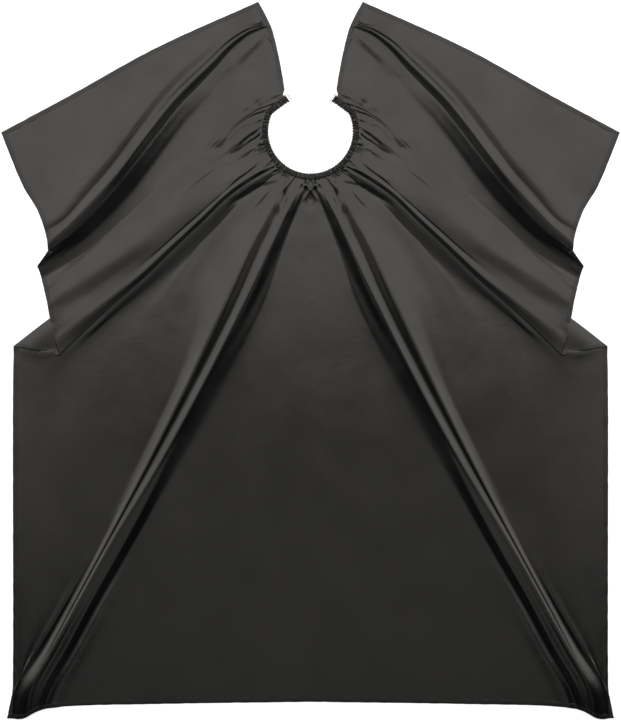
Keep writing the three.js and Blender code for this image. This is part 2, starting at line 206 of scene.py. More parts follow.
# The front pleat runs from the neck to the bottom corner. For each line along it: where it starts and ends,
# its x at each of the heights in PLEAT_Y, its height over the floor there and at its ends, and the steps to
# the next line.
PLEAT_Y = [293, 261, 198, 108, -36, -180, -324, -432, -522, -594]
PLEAT = [
    (1, ("bottom", 0.805), [6, 17, 37, 60, 127, 201, 275, 339, 393, 429],
     [4, 2.5, 2, 1.7, 1.7, 1.7, 1.7, 1.7, 1.7, 1.7, 1.7, 1.6], 4),
    (1.8, ("bottom", 0.85), [10.8, 23.4, 45, 73, 142, 222, 301.5, 368, 417, 457],
     [4, 2.5, 1.9, 1.9, 2.1, 2.6, 2.6, 3, 3.6, 4.4, 4.2, 3.4], 4),
    (2.6, ("bottom", 0.873), [15, 28, 53, 84, 154, 233, 314, 378, 427.5, 469],
     [4, 3, 2, 2.2, 3.2, 4.2, 3.8, 2.6, 1.8, 2, 3, 2], 3),
    (3.6, ("bottom", 0.885), [20, 35, 62, 98, 168, 246, 324, 385, 434, 476],
     [4, 6, 6.4, 7.6, 8.4, 7.6, 6.8, 6, 5.6, 6.4, 8, 4.6], 3),
    (4.6, ("bottom", 0.9), [24.5, 41, 68.4, 108, 181, 256.5, 332, 393, 441, 483],
     [4, 7.8, 10, 12.8, 14.2, 11.6, 9.6, 9.2, 9.4, 9.8, 9.6, 6], 3),
    (5.6, ("bottom", 0.915), [27.5, 43.5, 72.4, 113.5, 185.5, 263, 345, 404, 455.5, 494],
     [4, 9.4, 12, 15, 16.6, 13.6, 10.8, 9.2, 8.6, 8.8, 9.4, 6], 3),
    (7, ("bottom", 0.935), [31.5, 48, 76.5, 119, 191, 268.5, 355, 415, 462.6, 503],
     [4, 9.6, 12.4, 15.6, 17.2, 14.4, 11.8, 10.2, 9.8, 10.8, 11, 7], 4),
    (17, ("bottom", 0.952), [49.5, 60, 89.5, 129.5, 202, 280.5, 361.8, 421, 470, 510],
     [4, 5.8, 8, 10.6, 11.8, 7.6, 6.8, 7, 6.9, 8.4, 9, 6], 5),
    (23, ("bottom", 0.968), [61, 78, 110.7, 150.3, 218.7, 290, 365.4, 424, 472.5, 514],
     [4, 9, 12.6, 16.4, 17.6, 11.4, 9, 7.8, 7.2, 7.4, 7.6, 5], 4),
    (26.5, ("bottom", 0.983), [67, 85, 122, 164, 227, 298, 373, 431, 482.4, 531],
     [4, 7.8, 10.4, 13, 13, 6.4, 4.2, 3.2, 2.2, 1.9, 1.9, 2], 4),
    (29.3, ("bottom", 1.0), [74, 94, 137, 182, 236, 306, 381, 438, 491, 534],
     [4, 5.4, 6.4, 7.4, 6.6, 2.4, 1.8, 2.6, 4, 4.6, 3, 2], 5),
    (30.5, ("side_lower", 0.11), [82, 106, 160, 210, 252, 324, 399, 455, 504, 531],
     [4, 3.8, 3.2, 2.4, 2, 1.7, 1.7, 1.7, 2, 2.2, 2, 1.6], 8),
]

# The edge of the middle layer, which overhangs the panel below it, and the line where the panel is folded
OVERLAP_EDGE = [(76, 341), (98, 328), (145, 295), (192, 250), (248, 197), (302, 145), (355, 99), (411, 47)]
HIDDEN_FOLD = [(102, 345), (154, 312), (235, 240), (307, 190), (379, 135), FLAP_ROOT]
# The valley behind the edge, and the swell behind that
VALLEY = [(92, 368), (128, 332), (170, 290), (222, 246), (274, 200), (346, 155), (411, 110)]
SWELL = [(127, 360), (175, 332), (224, 290), (276, 245), (327, 200), (395, 155)]

# The roll at the foot of the top flap: its crest, and how its width grows along it
ROLL = [
    (87, 601), (112, 592), (147, 567), (177, 537), (211, 504), (246, 468), (282, 423), (316, 378),
    (351, 333), (391, 288), (434, 243),
]
ROLL_WIDTH = [0.3, 0.45, 0.65, 0.85, 1, 1, 1, 1, 1, 1, 0.9]
# Lines along it: offset towards the neck side, start on the slit, end, heights along it, steps to the next
ROLL_LINES = [
    (66, 0.42, ("side_middle", 0.86), [3, 3, 2.6, 2.2, 2.4, 2.2], 6),
    (44, 0.56, ("side_middle", 0.93), [3, 4, 3.6, 3.8, 6, 4.8], 4),
    (34, 0.62, ("side_middle", 1.0), [3, 4.6, 5.4, 6.9, 10, 7.6], 4),
    (26, 0.66, ("notch", 0.4), [3, 5, 6.8, 9.4, 13.4, 10.4], 4),
    (19, 0.70, ("notch", 0.7), [3, 5.8, 7.9, 11.8, 16.4, 13], 3),
    (14.5, 0.725, ("notch", 1.0), [3, 6.4, 8.6, 13, 17.9, 14.2], 3),
    (10, 0.745, ("side_upper", 0.02), [3.2, 8, 11, 15.2, 19.5, 15.2], 3),
    (4, 0.77, ("side_upper", 0.045), [3.6, 10, 14.8, 18.6, 21.4, 16], 3),
    (0, 0.79, ("side_upper", 0.07), [3.6, 10, 15.2, 19, 21.6, 16.2], 3),
    (-6, 0.81, ("side_upper", 0.10), [3.4, 8.4, 12.2, 15.6, 17.8, 14.2], 3),
    (-11, 0.84, ("side_upper", 0.14), [3, 6.8, 10, 12.8, 14.8, 12.2], 3),
    (-20, 0.87, ("side_upper", 0.19), [3, 7.4, 11.6, 14.8, 16.9, 13], 4),
    (-31, 0.90, ("side_upper", 0.25), [3, 8.2, 13.4, 17, 18.4, 11.5], 8),
]


def beside(route, offset):
    """A route moved to its right, seen along it, by one offset or one for each point."""
    points = np.array(route, float)
    heading = directions(points)
    return points + np.stack([heading[:, 1], -heading[:, 0]], axis=1) * np.reshape(offset, (-1, 1))


def rail(start, via, end, heights, steps):
    """One line along the cloth from the neck or slit to the outer edge, with heights at all its points."""
    inner_lines = [SEAM, SLIT_EDGE]
    end_at = outer(*end)
    first, last = on_lines(inner_lines, start), on_lines(OUTER_LINES, end_at)
    flat = np.concatenate([[first], np.asarray(via, float).reshape(-1, 2), [last]])
    spread = np.interp(np.linspace(0, 1, len(flat)), np.linspace(0, 1, len(heights)), heights)
    return {"start": start, "end": end_at, "points": np.column_stack([flat, spread]), "steps": steps}


def all_rails():
    """The lines along the cloth in order, from the front's centre round to the slit."""
    middle = [(0, y) for y in (200, 60, -150, -400)]
    rails = [rail(0, middle, ("bottom", 0), [4, REST, REST, REST, REST, REST], 16)]
    for degrees, end, xs, heights, steps in PLEAT:
        rails.append(rail(neck(degrees), list(zip(xs, PLEAT_Y)), end, heights, steps))
    low = [4, 3, 2, REST, REST, REST]
    rails += [
        rail(neck(32.5), [(96, 306), (182, 216), (292, 18), (400, -180)], ("side_lower", 0.30), low, 8),
        rail(neck(36), [(96, 313), (186, 225), (303, 63), (418, -81)], ("side_lower", 0.52), low, 8),
        rail(neck(38.5), beside(OVERLAP_EDGE, [12, 18, 23, 26, 25, 22, 19, 17]), ("side_lower", 0.8),
             [4, 3, 2, 1.7, 1.6, 1.6, 1.6, 1.6, 1.6, REST], 4),
        rail(neck(40), beside(OVERLAP_EDGE, [8, 11, 14, 16, 15, 13, 11, 9]), ("side_lower", 0.87),
             [4, 3.8, 3.9, 4, 4, 3.9, 3.8, 3.6, 3.4, REST], 4),
        rail(neck(40.8), beside(OVERLAP_EDGE, 5), ("side_lower", 0.92),
             [4, 4.6, 5.6, 6.4, 6.6, 6.4, 6.1, 5.2, 4.2, 1.6], 3),
        rail(neck(41.6), beside(OVERLAP_EDGE, -3), ("side_lower", 0.95),
             [4, 4.6, 6, 7.1, 7.3, 7.2, 6.8, 5.6, 4.4, 1.6], 4),
        rail(neck(42.5), beside(HIDDEN_FOLD, 6), ("side_lower", 0.985), [4, 3, 1.6, 1.5, 1.4, 1.4, 1.4], 3),
        rail(neck(43), HIDDEN_FOLD, ("turned", 0), [4.2, 3.6, 2.8, 2.8, 2.8, 2.8, 2.8], 3),
        rail(neck(43.5), beside(HIDDEN_FOLD, 6), ("turned", 0.1), [4.4, 4.4, 4.2, 4.2, 4.2, 4.6, 7.4], 6),
        rail(neck(45), beside(OVERLAP_EDGE, -8), ("turned", 0.86),
             [4.6, 5.8, 7.8, 7.8, 7.8, 7.8, 7.8, 6.6, 5.2, 3.6], 3),
        rail(neck(46), OVERLAP_EDGE, ("side_middle", 0), [5, 7, 8.2, 8.8, 8.8, 8.6, 8, 7.4, 6.6, 6], 3),
        rail(neck(47.5), beside(OVERLAP_EDGE, -3.5), ("side_middle", 0.03),
             [5, 8.4, 9.8, 10, 10, 9.8, 9.2, 8.4, 7.4, 6.2], 3),
        rail(neck(49.5), beside(OVERLAP_EDGE, [-5, -6, -6.5, -7, -8, -9, -12, -17]), ("side_middle", 0.14),
             [5, 9, 11, 11.4, 11.4, 11.2, 11, 10.8, 10.4, 7.4], 4),
        rail(neck(53), beside(OVERLAP_EDGE, [-9, -11, -12, -13, -15, -18, -23, -31]), ("side_middle", 0.25),
             [5, 8.4, 9.6, 9.8, 9.8, 9.8, 9.8, 9.8, 9.2, 5.5], 8),
        rail(neck(64), VALLEY, ("side_middle", 0.47), [5, 8, 10.4, 11.2, 11.4, 11, 9.6, 8, 5], 10),
        rail(neck(74), SWELL, ("side_middle", 0.58), [5, 9, 12.4, 13.6, 13, 11, 5.5], 12),
        rail(neck(95), [(134, 385), (199, 331), (271, 277), (343, 223), (415, 166)], ("side_middle", 0.67),
             [5, 7, 7, 7, 6, 4], 13),
        rail(neck(116), [(116, 434), (190, 364), (267, 297), (339, 238), (415, 177)], ("side_middle", 0.74),
             [5, 7, 6, 5, 4, 4], 14),
        rail(slit(0.12), [(87, 477), (172, 403), (260, 321), (332, 258), (411, 187)], ("side_middle", 0.81),
             [5, 7, 6, 5, 4, 4, 3], 10),
    ]
    for offset, start, end, heights, steps in ROLL_LINES:
        rails.append(rail(slit(start), beside(ROLL, offset * np.array(ROLL_WIDTH)), end, heights, steps))
    rails += [
        rail(slit(0.94), [(150, 607), (250, 552), (340, 492), (430, 400)], ("side_upper", 0.42),
             [3, 4, 7.5, 8.5, 7, 2], 9),
        rail(slit(0.98), [(278.3, 556.4), (428.3, 473.4)], ("side_upper", 0.98), [2, 2, 2, 2], 1),
        rail(slit(1), [(280, 560), (430, 477)], ("side_upper", 1), [2, 2, 2, 2], 0),
    ]
    return rails


# ---- The cloth ----

LAST_FRONT_RAIL = 7  # the last rail with the front's small folds, counted from the pleat's last line
FIRST_UPPER_RAIL = 11  # the edge of the middle layer, counted in the same way
ROWS = 96  # steps along each rail
ROW_CROWDING = 1.75  # how much closer together they are near the neck
EDGE_ROW = 0.996  # one more, close to the outer edge

RAILS = all_rails()
SPANS = np.cumsum([0] + [r["steps"] for r in RAILS[:-1]])  # the column of each rail


def between_rails(key):
    """A value that each rail has, for every column of the grid."""
    values = [r[key] for r in RAILS]
    return np.interp(np.arange(SPANS[-1] + 1), SPANS, values)


def laid_grid():
    """Points of the +X half of the cloth: columns from front centre to the top edge, rows outwards."""
    fractions = (np.arange(ROWS + 1) / ROWS) ** ROW_CROWDING
    fractions = np.insert(fractions, ROWS, EDGE_ROW)
    lines = np.array([along(fine(r["points"], 16), fractions) for r in RAILS])
    grid = curve(lines, [r["steps"] for r in RAILS[:-1]])
    starts = np.array([on_lines([SEAM, SLIT_EDGE], s) for s in between_rails("start")])
    ends = np.array([on_lines(OUTER_LINES, s) for s in between_rails("end")])
    near_start = 1 - step(0, 0.25, fractions)
    near_end = step(0.75, 1, fractions)
    grid[..., :2] += (starts - grid[:, 0, :2])[:, None] * near_start[:, None]
    grid[..., :2] += (ends - grid[:, -1, :2])[:, None] * near_end[:, None]
    return grid


def ridge(points, route, height, wide, sharp=1.0):
    """How much a soft ridge along a route lifts each point; sharp below 1 makes its right side steeper."""
    line = fine(np.array(route, float), 10)
    heading = directions(line)
    away = points[:, None, :2] - line[None]
    distance = np.linalg.norm(away, axis=2)
    nearest = distance.argmin(axis=1)
    rows = np.arange(len(points))
    side = np.sign((away[rows, nearest] * heading[nearest][:, ::-1] * (1, -1)).sum(axis=1))
    spread = np.where(side > 0, wide * sharp, wide)
    taper = np.sin(math.pi * np.clip(nearest / (len(line) - 1), 0.04, 0.96)) ** 0.7
    return height * taper * np.exp(-((distance[rows, nearest] / spread) ** 2))


# Small folds of the layers above the panel: route, height, half width, sharpness
SOFTER_HEIGHT, SOFTER_WIDTH = 0.6, 1.6  # they are laid lower and wider than listed, by these factors
WRINKLES = [
    ([(125, 481), (111, 469), (97, 459), (87, 444)], -2.6, 3.5, 1.0),
    ([(148, 446), (122, 441), (97, 436)], -3.0, 9, 1.0),
    ([(99, 416), (106, 424), (118, 427), (130, 417), (144, 403), (172, 395)], 3.8, 6, 0.6),
    ([(86, 409), (105, 408), (121, 398), (133, 386), (151, 376), (172, 374)], 4.2, 6.5, 0.6),
    ([(142, 380), (165, 379), (190, 380)], -3.4, 5, 1.0),
    ([(80, 384), (94, 385), (112, 386)], -2.8, 2.4, 1.0),
    ([(108, 364), (128, 363), (150, 360)], -4.2, 9, 1.0),
    ([(94, 362), (112, 340), (152, 318)], 2.6, 5, 0.6),
    ([(78, 356), (100, 333), (131, 316)], 2.6, 4.5, 0.6),
    ([(150, 330), (165, 345), (175, 362)], -1.8, 10, 1.0),
    ([(136, 536), (95, 574), (74, 588)], 4.2, 8, 0.7),
    ([(160, 502), (127, 508), (109, 531), (86, 558), (70, 580)], -5.0, 10, 1.0),
    ([(91, 549), (107, 522), (113, 495), (100, 468)], 3.6, 8, 0.8),
    ([(86, 542), (93, 513), (96, 488)], -2.0, 3.5, 1.0),
    ([(74, 520), (80, 500), (76, 478)], -1.8, 5, 1.0),
    ([(150, 608), (127, 599), (114, 605), (109, 625)], -3.4, 7, 1.0),
    ([(119, 627), (105, 628), (89, 626)], -1.4, 2.5, 1.0),
    ([(180, 570), (150, 588), (132, 596)], -2.0, 6, 1.0),
    ([(300, 500), (360, 440), (430, 330)], 1.2, 24, 1.0),
    ([(415, 470), (430, 440), (420, 405)], -1.6, 14, 1.0),
    ([(345, 520), (352, 500), (345, 478)], -1.2, 12, 1.0),
    ([(500, 290), (480, 300), (455, 318)], -1.4, 7, 1.0),
]
# Small folds of the front near the neck
FRONT_WRINKLES = [
    ([(13, 322), (0, 306), (-12, 289)], 2.4, 2.4, 1.0),
    ([(-13, 322), (0, 306), (12, 289)], 2.4, 2.4, 1.0),
    ([(21, 321), (12, 315), (2, 309)], 2.6, 3, 1.0),
    ([(0, 296), (0, 288), (0, 274)], -2.0, 6, 1.0),
    ([(8, 283), (5, 278), (0, 274)], -1.6, 2, 1.0),
    ([(55, 301), (57, 278), (53, 263)], 4.2, 5, 0.8),
    ([(44, 306), (46, 290), (49, 270)], -3.0, 3.5, 1.0),
    ([(72, 310), (88, 290), (104, 272)], 2.4, 3.5, 0.7),
    ([(66, 300), (84, 279), (101, 262)], 2.0, 3.5, 0.7),
    ([(54, 318), (90, 311), (118, 295), (142, 282)], -2.8, 4, 1.0),
    ([(526, 24), (500, 18), (476, 12), (455, 8)], 3.4, 7, 1.0),
]

# The neck's gathers: height, pitch, seed, where they reach full height and how far out they fade
GATHERS = [
    (1.5, 4.4, 6, 0, 8),
    (2.0, 6.5, 1, 0, 13),
    (1.6, 9.5, 5, 10, 20),
    (2.0, 15, 2, 22, 36),
    (1.9, 29, 3, 60, 75),
]
# The puckers along the slit: height, pitch, seed and how far in they fade
SLIT_PUCKERS = [(0.8, 10, 7, 9), (1.3, 27, 8, 30)]
EDGE_PUCKER = 0.28  # height of the waves along the outer edge
EDGE_FADE = 14
LOWEST = 0.9  # for the middle of the cloth, over the floor

FITTING_GAP = 1.5  # from the wire fitting's bar back to the cloth's edge, so that the fitting swings clear
FITTING_OVERHANG = FITTING_HALF_WIDTH - BAND_WIDTH / 2
ROOM_FULL, ROOM_NONE = FITTING_OVERHANG + 2, FITTING_OVERHANG + 9  # distances out from the band's edge
ROOM_REACH = 30  # cloth further than this from the band's end stays


def band_end_directions():
    """The band's two corners at its +X end, and the directions across the band and out past its end."""
    inner, corner = neck_line(0)[-1], neck_line(BAND_WIDTH)[-1]
    across = (corner - inner) / np.linalg.norm(corner - inner)
    return inner, corner, across, np.array([-across[1], across[0]])


def make_room(points):
    """Moves the cloth's edge beside the band's end back from the wire fitting."""
    _, corner, across, outwards = band_end_directions()
    away = points[:, :2] - corner
    too_far = np.maximum(away @ outwards + LOOP_RADIUS + FITTING_GAP, 0)
    share = (1 - step(ROOM_FULL, ROOM_NONE, away @ across)) * (np.linalg.norm(away, axis=1) < ROOM_REACH)
    points[:, :2] -= (too_far * share)[:, None] * outwards


def gathered(grid):
    """The grid with the neck's gathers and the small folds added."""
    starts = between_rails("start")
    position = np.where(
        starts <= 1,
        starts * line_length(SEAM),
        line_length(SEAM) + (starts - 1) * line_length(SLIT_EDGE),
    )
    out = np.concatenate([
        np.zeros((len(grid), 1)),
        np.cumsum(np.linalg.norm(np.diff(grid, axis=1), axis=2), axis=1),
    ], axis=1)
    on_band = 1 - step(1.0, 1.25, starts)
    for height, pitch, seed, full, fade in GATHERS:
        wander = min(0.4 * pitch, 2.6) * ripple(out, 2.2 * pitch, seed + 40)
        wave = ripple(position[:, None] + wander, pitch, seed) * on_band[:, None]
        growth = step(0, full, out) if full else 1.0
        grid[..., 2] += height * wave * growth * np.exp(-out / fade)
    on_slit = step(1.02, 1.12, starts)
    for height, pitch, seed, fade in SLIT_PUCKERS:
        wave = ripple(position, pitch, seed) * on_slit
        grid[..., 2] += height * wave[:, None] * np.exp(-out / fade)
    round_edge = distances(grid[:, -1])
    pucker = ripple(round_edge, 15, 9) + 0.8 * ripple(round_edge, 37, 10)
    grid[..., 2] += EDGE_PUCKER * pucker[:, None] * np.exp(-(out[:, -1:] - out) / EDGE_FADE)
    flat = grid.reshape(-1, 3)
    column = np.repeat(np.arange(len(grid)), grid.shape[1])
    upper = column >= SPANS[len(PLEAT) + FIRST_UPPER_RAIL]
    for route, height, wide, sharp in WRINKLES:
        flat[upper, 2] += ridge(flat[upper], route, SOFTER_HEIGHT * height, SOFTER_WIDTH * wide, sharp)
    front = column < SPANS[len(PLEAT) + LAST_FRONT_RAIL]
    for route, height, wide, sharp in FRONT_WRINKLES:
        flat[front, 2] += ridge(flat[front], route, height, wide, sharp)
    flat[:, 2] = np.maximum(flat[:, 2], LOWEST)
    make_room(flat)
    return flat.reshape(grid.shape)


GRID = gathered(laid_grid())

# ---- Meshes ----


def quads(columns, rows, first=0, closed=False):
    """Faces over a grid of vertices stored column by column; closed joins the last row to the first."""
    spans = rows if closed else rows - 1
    i, j = np.meshgrid(np.arange(columns - 1), np.arange(spans), indexing="ij")
    k = (j + 1) % rows
    here, beyond = first + i * rows, first + (i + 1) * rows
    corners = [here + j, beyond + j, beyond + k, here + k]
    return np.stack([c.ravel() for c in corners], axis=1)


def make_object(name, vertices, faces, material=None, smooth=True):
    """A mesh object from points in millimetres."""
    mesh = bpy.data.meshes.new(name)
    mesh.from_pydata((np.asarray(vertices) * MM).tolist(), [], [list(map(int, f)) for f in faces])
    mesh.polygons.foreach_set("use_smooth", [smooth] * len(mesh.polygons))
    mesh.update()
    thing = bpy.data.objects.new(name, mesh)
    bpy.context.scene.collection.objects.link(thing)
    if material:
        mesh.materials.append(material)
    return thing


class Builder:
    """Collects vertices and faces for one piece."""

    def __init__(self):
        self.vertices, self.faces, self.count = [], [], 0

    def add(self, vertices, faces):
        self.vertices.append(np.asarray(vertices, float).reshape(-1, 3))
        self.faces += [[int(i) + self.count for i in f] for f in faces]
        self.count += len(self.vertices[-1])

    def tube(self, sections):
        """Rings of points joined one after another, with closed ends."""
        sections = np.asarray(sections, float)
        columns, rows = sections.shape[:2]
        faces = [list(f) for f in quads(columns, rows, closed=True)]
        faces.append(list(range(rows)))
        faces.append(list(range((columns - 1) * rows, columns * rows))[::-1])
        self.add(sections, faces)

    def make(self, name, material, mirror=False):
        vertices = np.concatenate(self.vertices)
        faces = self.faces
        if mirror:
            vertices = vertices * (-1, 1, 1)
            faces = [f[::-1] for f in faces]
        return make_object(name, vertices, faces, material)


def make_sheet(material):
    """The whole cloth as one sheet: the +X half, its mirror image, and the faces that join them."""
    columns, rows = GRID.shape[:2]
    mirrored = GRID[1:] * (-1, 1, 1)
    vertices = np.concatenate([GRID.reshape(-1, 3), mirrored.reshape(-1, 3)])
    first = columns * rows
    other = quads(columns - 1, rows, first)[:, ::-1]
    j = np.arange(rows - 1)
    seam = np.stack([j, j + 1, first + j + 1, first + j], axis=1)
    faces = np.concatenate([quads(columns, rows), other, seam])
    return make_object("satin_sheet", vertices, faces, material)


# ---- Hems and stitches ----

CLOTH_THICKNESS = 0.5
HEM_STEP = 3.0  # between the cross-sections of a hem
HEM_PUCKER_PITCH = 13
HEM_DRIFT_PITCH = 31
STITCH_INSET = 6.4
STITCH_PITCH = 3.4
STITCH_LENGTH = 2.4
STITCH_WIDTH = 0.55

# Even stations along an edge of the cloth: places, the directions in from the edge and up, distances along
# it, the cloth that they lie on, and the seed for the hem's unevenness
Frames = namedtuple("Frames", "place inward up distance tree seed")


def layer_tree(first, last):
    """The cloth between two columns, for finding the point of one layer that is nearest."""
    part = GRID[first:last + 1]
    return BVHTree.FromPolygons(part.reshape(-1, 3).tolist(), quads(*part.shape[:2]).tolist())


def columns_between(low, high):
    """The columns whose outer ends lie between two positions on the outer edge."""
    ends = between_rails("end")
    inside = np.nonzero((ends >= low - 1e-6) & (ends <= high + 1e-6))[0]
    return inside[0], inside[-1]


def edge_frames(edge, inner, tree, seed):
    """The stations along an edge, from points on it and the points further in beside them."""
    count = max(int(line_length(edge) / HEM_STEP), 6)
    share = np.linspace(0, 1, count + 1)
    place = along(edge, share)
    steps = distances(edge)
    inside = np.stack([np.interp(share, steps / steps[-1], inner[:, k]) for k in range(3)], axis=1)
    heading = directions(place)
    inward = inside - place
    inward -= (inward * heading).sum(axis=1)[:, None] * heading
    inward /= np.linalg.norm(inward, axis=1)[:, None]
    up = np.cross(heading, inward)
    up *= np.sign(up[:, 2])[:, None]
    return Frames(place, inward, up, share * steps[-1], tree, seed)


def hem_points(frames, distance, lift):
    """Points on the cloth at a distance in from its edge, raised off it along the way up."""
    points = []
    for p, i, u in zip(frames.place, frames.inward, frames.up):
        target = p + i * distance
        found = frames.tree.find_nearest(Vector(target)) if distance > 0.5 else (None,)
        on_cloth = np.array(found[0]) if found[0] is not None else target
        points.append(on_cloth + u * lift)
    return np.array(points)


# A hem's section: distance in from the edge and height over the middle of the cloth, all round
HEM_SECTION = [
    (HEM_WIDTH + 1.4, -0.1), (HEM_WIDTH + 0.4, 0.21), (HEM_WIDTH - 1.2, 0.36), (STITCH_INSET - 0.8, 0.4),
    (3, 0.52), (1, 0.55), (-0.5, 0.1), (0.4, -0.6), (3, -0.7), (HEM_WIDTH + 1.4, -0.4),
]


def hem_strip(builder, frames):
    """A turned hem wrapped round the cloth's edge, puckered along its stitches."""
    pucker = ripple(frames.distance, HEM_PUCKER_PITCH, frames.seed)
    drift = ripple(frames.distance, HEM_DRIFT_PITCH, frames.seed + 1)
    rings = []
    for inset, height in HEM_SECTION:
        points = hem_points(frames, inset, 0)
        lift = height * (1 + 0.25 * pucker * (height > 0.5)) + 0.16 * drift * (inset > 2)
        points = points + frames.up * lift[:, None]
        if inset < 1:
            points = points - frames.inward * (0.25 * drift)[:, None]
        rings.append(points)
    builder.tube(np.stack(rings, axis=1))


def stitch(builder, centre, heading, up, length=STITCH_LENGTH, width=STITCH_WIDTH):
    """One stitch of thread, a short bead that sinks into the cloth at both ends."""
    side = np.cross(up, heading)
    turn = np.arange(6)[:, None] * math.pi / 3
    rings = []
    for at, size, height in ((-0.5, 0.3, -0.25), (-0.3, 0.9, 0.0), (0.3, 0.9, 0.0), (0.5, 0.3, -0.25)):
        middle = centre + heading * at * length + up * height
        radius = width / 2 * size
        rings.append(middle + side * np.cos(turn) * radius + up * np.sin(turn) * radius)
    builder.tube(rings)


def stitch_row(builder, frames, margin=16, lift=0.62):
    """A row of stitches along a hem, clear of its ends."""
    at = np.arange(margin, frames.distance[-1] - margin, STITCH_PITCH)
    row = hem_points(frames, STITCH_INSET, lift)
    centres = np.stack([np.interp(at, frames.distance, row[:, k]) for k in range(3)], axis=1)
    ups = np.stack([np.interp(at, frames.distance, frames.up[:, k]) for k in range(3)], axis=1)
    for c, h, u in zip(centres, directions(centres), ups):
        u = u - h * (u @ h)
        stitch(builder, c, h, u / np.linalg.norm(u))


def hem_edges():
    """Each hem's name, edge, a line further in, and the layer of cloth that it is on, for the +X side."""
    last = len(GRID) - 1
    spans = {
        "side_lower": (outer("side_lower", 0), outer("turned", 0)),
        "turned": (outer("turned", 0), outer("side_middle", 0)),
        "side_middle": (outer("side_middle", 0), outer("side_upper", 0)),
        "side_upper": (outer("side_upper", 0), outer("side_upper", 1)),
    }
    edges = {}
    for name, (low, high) in spans.items():
        first, end = columns_between(low, high)
        edges[name] = (GRID[first:end + 1, -1], GRID[first:end + 1, -3], (first, end))
    edges["top"] = (GRID[last, 1:], GRID[last - 3, 1:], (SPANS[-4], last))
    first = int(np.nonzero(between_rails("start") >= 1.03)[0][0])
    edges["back"] = (GRID[first:, 0], GRID[first:, 4], (first, last))
    return edges


def make_hems(hem_material, thread_material):
    """Every hem with its row of stitches, as pieces that stand for the CAD nodes."""
    made = []
    first, end = columns_between(0, 1)
    half, inner = GRID[first:end + 1, -1], GRID[first:end + 1, -3]
    mirror = np.array([-1, 1, 1])
    edge = np.concatenate([half[::-1] * mirror, half[1:]])
    inside = np.concatenate([inner[::-1] * mirror, inner[1:]])
    part = GRID[first:end + 1]
    columns, rows = part.shape[:2]
    both = np.concatenate([(part * mirror).reshape(-1, 3), part.reshape(-1, 3)])
    faces = quads(columns, rows).tolist() + quads(columns, rows, columns * rows).tolist()
    frames = edge_frames(edge, inside, BVHTree.FromPolygons(both.tolist(), faces), 11)
    hem, row = Builder(), Builder()
    hem_strip(hem, frames)
    stitch_row(row, frames)
    made.append((hem.make("bottom_hem_fold", hem_material), "bottom_hem"))
    made.append((row.make("bottom_hem_stitches", thread_material), "bottom_thread"))
    for number, (name, (edge, inside, layer)) in enumerate(hem_edges().items()):
        frames = edge_frames(edge, inside, layer_tree(*layer), 20 + 3 * number)
        hem, row = Builder(), Builder()
        hem_strip(hem, frames)
        stitch_row(row, frames, 8 if name == "turned" else 16)
        for side, mirrored in (("right", False), ("left", True)):
            made.append((hem.make(f"{side}_{name}_hem_fold", hem_material, mirrored), f"{side}_{name}_hem"))
            stitches = row.make(f"{side}_{name}_stitches", thread_material, mirrored)
            made.append((stitches, None if name == "turned" else f"{side}_{name}_thread"))
    return made


# ---- Neckband ----

CASING_SETBACK = 4.0  # from the band's end to where the gathered casing starts
CASING_HALF_HEIGHT = 2.7
CASING_MIDDLE_Z = 2.95
CASING_STATIONS = 760
CASING_SIDES = 20
CREASE_LEAN = 1.6  # how far along the band its creases wander on their way over the top
BEAD_SWELL = 2.4  # of the gathered cloth between two creases
FINE_SWELL = 0.6
GATHER_PITCH = 4.8
GATHER_STITCH_PITCH = 2.7
GATHER_STITCH_INSET = 2.2  # from the band's outer edge
GATHER_STITCH_MARGIN = 12
WALL = 0.45


def in_space(v, z=0.0):
    """A place or direction in the plane as three numbers."""
    return np.array([v[0], v[1], z])


def whole_neck(distance):
    """The neck line from the band's -X end round the front to its +X end."""
    half = neck_line(distance)
    return np.concatenate([half[:0:-1] * (-1, 1), half])


def beads(position):
    """The gathers along the casing: 0 in a sharp crease and 1 on the broad hump between two creases."""
    phase = position / GATHER_PITCH + 0.35 * ripple(position, 47, 71) + 0.12 * ripple(position, 13, 72)
    return np.abs(np.sin(math.pi * phase)) ** 0.9


def casing_rings(inset):
    """Cross-sections of the casing, its surface moved in by a wall."""
    line = whole_neck(BAND_WIDTH / 2)
    total = line_length(line)
    share = np.linspace(CASING_SETBACK / total, 1 - CASING_SETBACK / total, CASING_STATIONS)
    place = along(line, share)
    heading = directions(place)
    outwards = np.stack([heading[:, 1], -heading[:, 0]], axis=1)
    position = share * total
    rings = []
    for turn in np.arange(CASING_SIDES) * 2 * math.pi / CASING_SIDES:
        across, rise = math.cos(turn), math.sin(turn)
        shift = CREASE_LEAN * ripple(position, 9, 90) * max(rise, 0)
        hump = beads(position + shift)
        small = ripple(position + 2.5 * across, 2.9, 93)
        swell = BEAD_SWELL * (hump - 0.6) + FINE_SWELL * small
        wide = np.sign(across) * abs(across) ** 0.75 * (BAND_WIDTH / 2 - 0.5 + 0.8 * swell - inset)
        high = np.sign(rise) * abs(rise) * (CASING_HALF_HEIGHT + swell - inset)
        ring = np.column_stack([place + outwards * wide[:, None], CASING_MIDDLE_Z + high])
        ring[:, 2] = np.maximum(ring[:, 2], 0.25 + inset)
        rings.append(ring)
    return np.stack(rings, axis=1)


